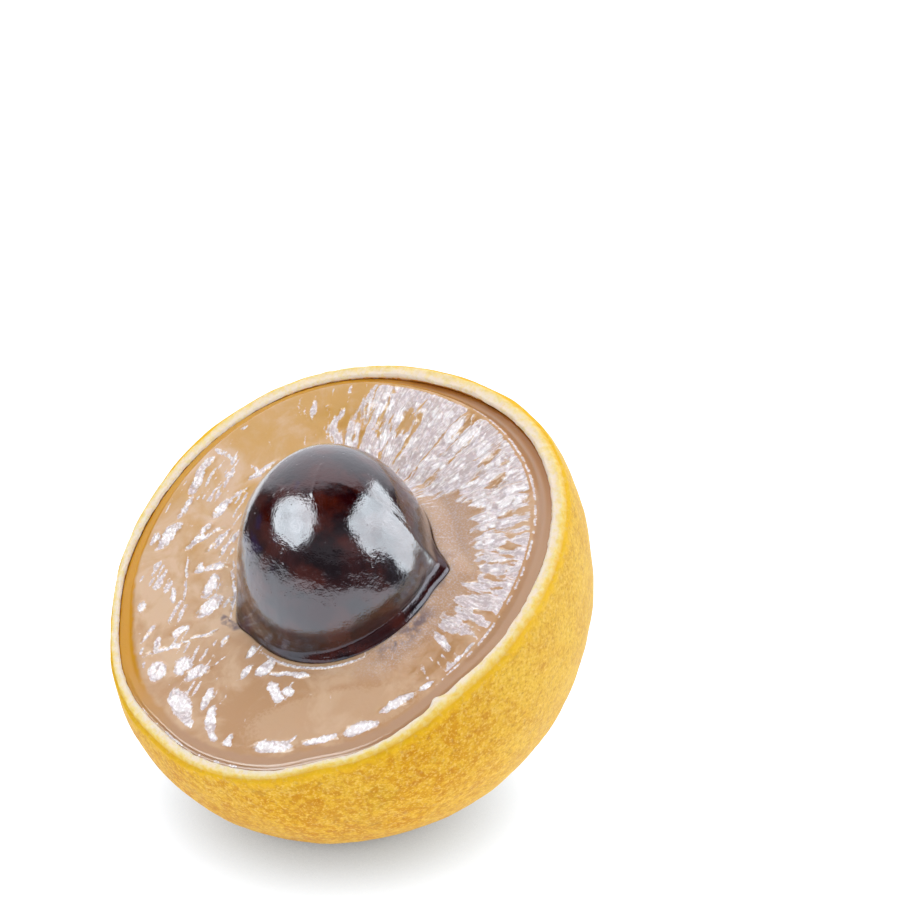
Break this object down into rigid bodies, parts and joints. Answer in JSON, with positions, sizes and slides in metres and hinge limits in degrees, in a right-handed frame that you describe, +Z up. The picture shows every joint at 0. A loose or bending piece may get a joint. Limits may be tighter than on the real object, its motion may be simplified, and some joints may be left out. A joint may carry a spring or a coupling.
{
  "type": "halved longan fruit",
  "caption": "One half of a longan cut across: thin leathery rind cup, juicy flesh and the whole glossy seed standing out of the cut.",
  "frame": {"origin": "middle of the flat spot on the rind's underside that the half rests on", "axes": "+Z up; the cut face leans towards -Y, 33.5 degrees from level; +X along the cut face, level"},
  "size_m": [0.0269, 0.0256, 0.0219],
  "materials": {
    "rind": "matte golden-tan leathery skin, fine grain, with a cream cut edge",
    "flesh": "wet, glassy, translucent beige jelly-like flesh",
    "seed": "glossy near-black maroon seed coat"
  },
  "bodies": {
    "root": {"rind": "rind", "flesh": "flesh", "seed": "seed"}
  },
  "joints": []
}
